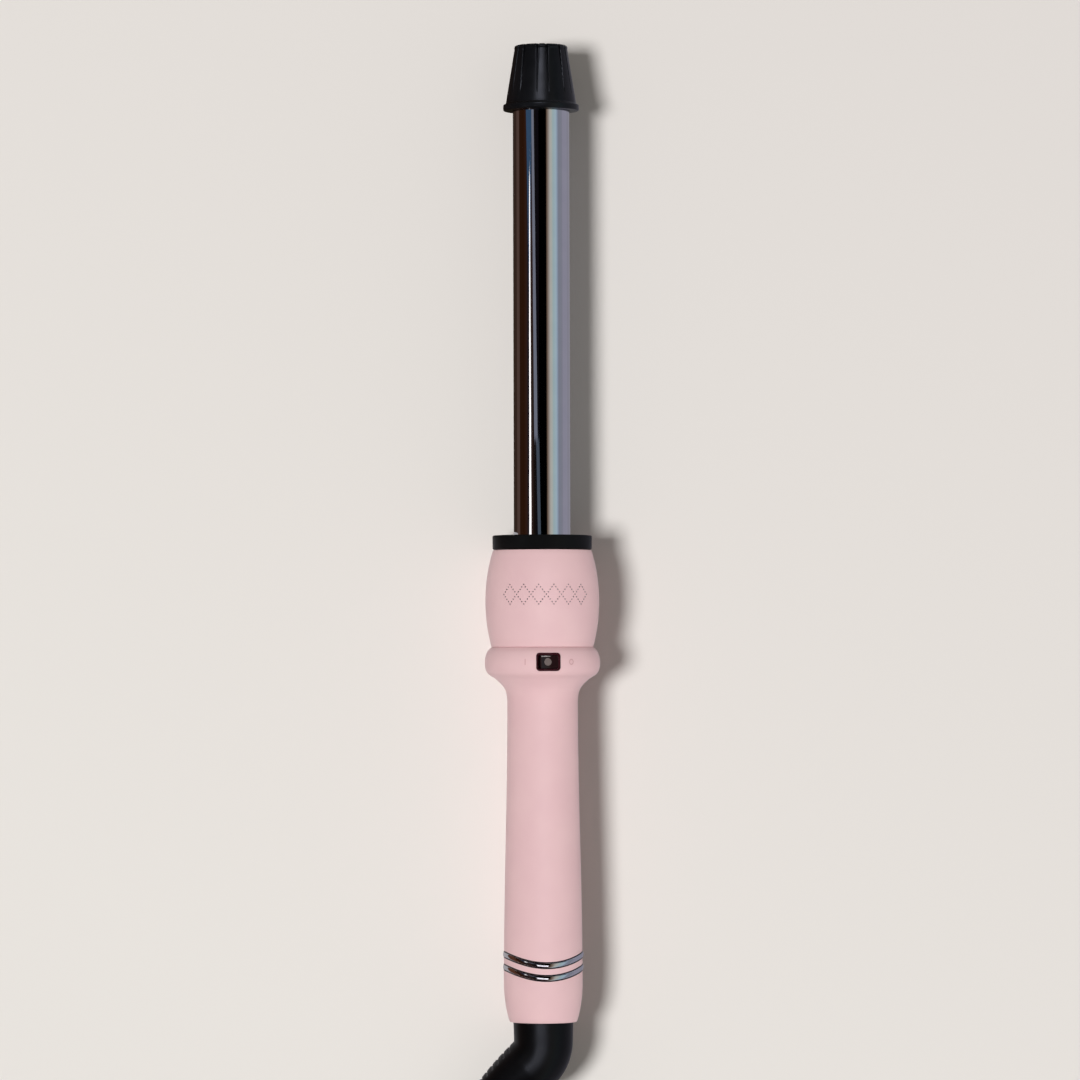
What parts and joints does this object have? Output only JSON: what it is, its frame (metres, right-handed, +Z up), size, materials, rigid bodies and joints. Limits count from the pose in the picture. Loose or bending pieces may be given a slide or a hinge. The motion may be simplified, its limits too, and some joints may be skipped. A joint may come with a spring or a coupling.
{
  "type": "curling wand",
  "caption": "Hair curling wand: straight chrome barrel with a fluted cool tip, bulb nose, rocker switch, slim grip with trim bands, and a swivel cord with a plug.",
  "frame": {"origin": "on the surface that the wand lies on, below the middle of its length, midway between its sides, without its cord and boot", "axes": "+Y along the wand's axis from the tail to the cool tip, +Z up towards the switch side, +X to the right of the switch seen from above with the tip away"},
  "size_m": [0.105, 0.6001, 0.0514],
  "materials": {
    "pink_shell": "moulded ABS with a satin soft-touch lacquer",
    "trim_chrome": "bright chrome plate",
    "black_ring": "moulded heat-proof nylon, satin",
    "heat_plastic": "moulded phenolic",
    "steel": "zinc plated",
    "barrel_chrome": "polished and plated to a dark mirror",
    "aluminium": "extruded",
    "heater_ceramic": "fired ceramic in film",
    "wire_sleeve": "silicone sleeve",
    "black_cap": "moulded, satin",
    "switch_black": "moulded, semi-gloss",
    "rocker_black": "polished",
    "lens_grey": "smoked lens",
    "brass": "rolled",
    "board_green": "laminate with solder resist",
    "chip_black": "moulded epoxy",
    "capacitor_yellow": "moulded box",
    "fuse_glass": "drawn tube",
    "spindle_nylon": "moulded nylon",
    "boot_black": "moulded flexible PVC, satin",
    "cord_black": "extruded PVC sheath",
    "tie_black": "woven hook and loop strap",
    "plug_black": "moulded PVC",
    "pin_nickel": "nickel plated brass"
  },
  "bodies": {
    "handle": {"handle_front": "pink_shell", "handle_back": "pink_shell", "handle_screws": "steel", "upper_trim_band": "trim_chrome", "lower_trim_band": "trim_chrome", "nose_housing": "pink_shell", "nose_ring": "black_ring", "barrel_holder": "heat_plastic", "holder_screws": "steel", "barrel": "barrel_chrome", "upper_heat_spreader": "aluminium", "lower_heat_spreader": "aluminium", "heater_plate": "heater_ceramic", "heater_spring": "steel", "thermal_fuse": "steel", "thermistor": "heater_ceramic", "heater_leads": "wire_sleeve", "tip_cap": "black_cap", "barrel_end_plug": "heat_plastic", "cap_screw": "steel", "cap_button": "black_cap", "switch_body": "switch_black", "switch_terminals": "brass", "control_board": "board_green", "board_screws": "steel", "board_triac": "chip_black", "board_capacitor": "capacitor_yellow", "board_fuse": "fuse_glass", "board_chip": "chip_black", "mains_wires": "wire_sleeve", "swivel_socket": "heat_plastic", "live_brush": "brass", "neutral_brush": "brass", "brush_carrier": "heat_plastic"},
    "rocker": {"switch_rocker": "rocker_black", "rocker_lens": "lens_grey"},
    "swivel": {"swivel_spindle": "spindle_nylon", "swivel_clip": "steel", "live_slip_ring": "brass", "neutral_slip_ring": "brass", "cord_boot": "boot_black", "cord_lead": "cord_black", "cord_tail": "cord_black", "cord_coil": "cord_black", "cord_tie": "tie_black", "plug_body": "plug_black", "plug_pins": "pin_nickel", "pin_sleeves": "switch_black"}
  },
  "joints": [
    {"name": "rocker_press", "type": "hinge", "parent": "handle", "child": "rocker", "pos_m": [0, -0.05715, 0.04775], "axis": [0, -1, 0], "range_deg": [0, 20]},
    {"name": "cord_swivel", "type": "hinge", "parent": "handle", "child": "swivel", "pos_m": [0, -0.21605, 0.0255], "axis": [0, 1, 0], "continuous": true}
  ]
}
